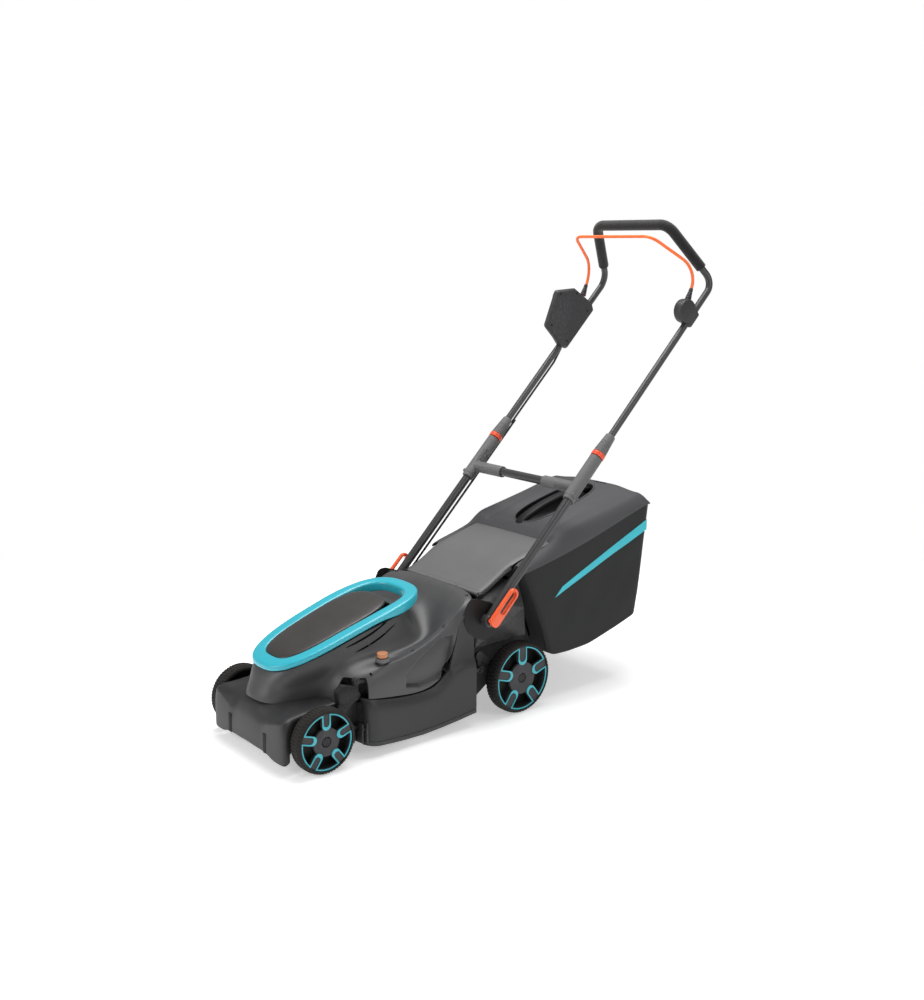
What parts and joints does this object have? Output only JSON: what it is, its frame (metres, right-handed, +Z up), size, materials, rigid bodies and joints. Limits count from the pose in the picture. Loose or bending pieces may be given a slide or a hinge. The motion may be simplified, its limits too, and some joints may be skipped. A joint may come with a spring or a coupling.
{
  "type": "lawn mower",
  "caption": "Battery rotary lawn mower on four spoked wheels with a rear grass box, folding telescopic handle and bail bar.",
  "frame": {"origin": "on the ground below the middle of the machine's box", "axes": "+Z up, front of the mower at -Y, operator at +Y, +X to the operator's left when facing forward"},
  "size_m": [0.4504, 1.3183, 1.199],
  "materials": {
    "deck": "moulded matt charcoal",
    "hood": "moulded matt mid grey",
    "cyan": "satin cyan",
    "teal": "satin teal",
    "inner": "moulded matt black",
    "pack": "matt battery casing",
    "key": "orange-red plastic",
    "steel": "plain steel",
    "zinc": "zinc-plated steel",
    "motor_can": "cast aluminium",
    "board": "potted circuit board",
    "collar": "light grey plastic",
    "button": "copper-orange plastic",
    "lid": "dark textured plastic",
    "flap": "light grey matt plastic",
    "rubber_tread": "ribbed tyre",
    "rim_plastic": "dark grey plastic",
    "tube": "dark grey powder coat",
    "joint_plastic": "mid grey plastic",
    "orange": "bright orange plastic",
    "orange_wire": "orange coated steel",
    "foam": "soft foam",
    "switchgear": "charcoal plastic",
    "cable": "black cable sheath",
    "bag": "coated woven fabric",
    "box_plastic": "matt charcoal lid",
    "stripe": "teal stripe"
  },
  "bodies": {
    "chassis": {"deck_housing": "deck", "hood_cover": "hood", "ring_handle": "cyan", "battery_bay": "inner", "battery_packs": "pack", "safety_key": "key", "motor": "motor_can", "controller_box": "board", "button_collar": "collar", "bracket_left": "inner", "bracket_right": "inner", "cover_screws": "zinc", "flap_hinge_pin": "zinc"},
    "battery_cover": {"battery_lid": "lid"},
    "blade_unit": {"blade": "steel", "blade_holder": "inner", "blade_bolt": "zinc", "motor_shaft": "steel"},
    "height_release": {"height_button": "button"},
    "discharge_flap": {"rear_flap": "flap"},
    "front_crank": {"front_axle": "steel", "axle_nuts_front": "inner"},
    "rear_crank": {"rear_axle": "steel", "axle_nuts_rear": "inner"},
    "link": {"link_rod": "steel"},
    "wheel_front_left": {"tyre_front_left": "rubber_tread", "rim_front_left": "rim_plastic", "trim_front_left": "teal"},
    "wheel_front_right": {"tyre_front_right": "rubber_tread", "rim_front_right": "rim_plastic", "trim_front_right": "teal"},
    "wheel_rear_left": {"tyre_rear_left": "rubber_tread", "rim_rear_left": "rim_plastic", "trim_rear_left": "teal"},
    "wheel_rear_right": {"tyre_rear_right": "rubber_tread", "rim_rear_right": "rim_plastic", "trim_rear_right": "teal"},
    "lower_handle": {"lower_tube_left": "tube", "lower_tube_right": "tube", "tee_left": "joint_plastic", "tee_right": "joint_plastic", "cross_tube": "tube", "cable_lower": "cable"},
    "clamp_left": {"clamp_ring_left": "orange", "clamp_sleeve_left": "joint_plastic"},
    "clamp_right": {"clamp_ring_right": "orange", "clamp_sleeve_right": "joint_plastic"},
    "release_left": {"lever_left": "orange"},
    "release_right": {"lever_right": "orange"},
    "handle_loop": {"upper_handle": "tube", "foam_grip": "foam", "switch_box": "switchgear", "pivot_pod": "switchgear", "cable_upper": "cable"},
    "bail_bar": {"bail": "orange_wire"},
    "start_switch": {"start_button": "orange"},
    "grass_box": {"box_lid": "box_plastic", "grass_bag": "bag"},
    "level_indicator": {"level_flap": "box_plastic"}
  },
  "joints": [
    {"name": "battery_lid_hinge", "type": "hinge", "parent": "chassis", "child": "battery_cover", "pos_m": [0, -0.58467, 0.221], "axis": [1, 0, 0], "range_deg": [0, 48]},
    {"name": "blade_spin", "type": "hinge", "parent": "chassis", "child": "blade_unit", "pos_m": [0, -0.30567, 0.06], "axis": [0, 0, 1], "continuous": true},
    {"name": "height_button_press", "type": "slide", "parent": "chassis", "child": "height_release", "axis": [0, 0, -1], "range_m": [0, 0.006], "stiffness_N_per_m": 600, "springref_m": -0.002},
    {"name": "rear_flap_hinge", "type": "hinge", "parent": "chassis", "child": "discharge_flap", "pos_m": [0, -0.09467, 0.309], "axis": [1, 0, 0], "range_deg": [0, 70], "stiffness_Nm_per_rad": 0.6, "springref_deg": -22.92},
    {"name": "front_height_crank", "type": "hinge", "parent": "chassis", "child": "front_crank", "pos_m": [0, -0.46567, 0.145], "axis": [1, 0, 0], "range_deg": [0, 20]},
    {"name": "rear_height_crank", "type": "hinge", "parent": "chassis", "child": "rear_crank", "pos_m": [0, -0.10467, 0.16], "axis": [-1, 0, 0], "range_deg": [0, 20]},
    {"name": "link_rod_pivot", "type": "hinge", "parent": "front_crank", "child": "link", "pos_m": [0, -0.46567, 0.18], "axis": [-1, 0, 0], "range_deg": [0, 19.5]},
    {"name": "wheel_spin_front_left", "type": "hinge", "parent": "front_crank", "child": "wheel_front_left", "pos_m": [0.18, -0.57067, 0.075], "axis": [1, 0, 0], "continuous": true},
    {"name": "wheel_spin_front_right", "type": "hinge", "parent": "front_crank", "child": "wheel_front_right", "pos_m": [-0.18, -0.57067, 0.075], "axis": [1, 0, 0], "continuous": true},
    {"name": "wheel_spin_rear_left", "type": "hinge", "parent": "rear_crank", "child": "wheel_rear_left", "pos_m": [0.18, 0.00033, 0.09], "axis": [1, 0, 0], "continuous": true},
    {"name": "wheel_spin_rear_right", "type": "hinge", "parent": "rear_crank", "child": "wheel_rear_right", "pos_m": [-0.18, 0.00033, 0.09], "axis": [1, 0, 0], "continuous": true},
    {"name": "handle_fold", "type": "hinge", "parent": "chassis", "child": "lower_handle", "pos_m": [0, -0.11267, 0.26], "axis": [1, 0, 0], "range_deg": [0, 120]},
    {"name": "handle_telescope", "type": "slide", "parent": "lower_handle", "child": "handle_loop", "axis": [0, 0.7071, 0.7071], "range_m": [-0.14, 0]},
    {"name": "clamp_twist_left", "type": "hinge", "parent": "lower_handle", "child": "clamp_left", "pos_m": [0.196, -0.11267, 0.26], "axis": [0, 0.7071, 0.7071], "range_deg": [0, 90]},
    {"name": "clamp_twist_right", "type": "hinge", "parent": "lower_handle", "child": "clamp_right", "pos_m": [-0.196, -0.11267, 0.26], "axis": [0, 0.7071, 0.7071], "range_deg": [0, 90]},
    {"name": "quick_release_left", "type": "hinge", "parent": "lower_handle", "child": "release_left", "pos_m": [0.2182, -0.11267, 0.26], "axis": [0, 0.7071, -0.7071], "range_deg": [0, 90]},
    {"name": "quick_release_right", "type": "hinge", "parent": "lower_handle", "child": "release_right", "pos_m": [-0.2182, -0.11267, 0.26], "axis": [0, -0.7071, 0.7071], "range_deg": [0, 90]},
    {"name": "bail_pivot", "type": "hinge", "parent": "handle_loop", "child": "bail_bar", "pos_m": [0, 0.55533, 0.966], "axis": [-1, 0, 0], "range_deg": [0, 16], "stiffness_Nm_per_rad": 2, "springref_deg": -11.46},
    {"name": "start_button_press", "type": "slide", "parent": "handle_loop", "child": "start_switch", "axis": [1, 0, 0], "range_m": [0, 0.003], "stiffness_N_per_m": 600, "springref_m": -0.001},
    {"name": "grass_box_slide", "type": "slide", "parent": "chassis", "child": "grass_box", "axis": [0, 0.9781, 0.2079], "range_m": [0, 0.35]},
    {"name": "level_flap_hinge", "type": "hinge", "parent": "grass_box", "child": "level_indicator", "pos_m": [0.024, 0.43253, 0.4915], "axis": [1, 0, 0], "range_deg": [0, 40]}
  ],
  "couplings": [
    {"joint": "rear_height_crank", "follows": "front_height_crank", "ratio": 1},
    {"joint": "link_rod_pivot", "follows": "front_height_crank", "ratio": 0.9675}
  ]
}
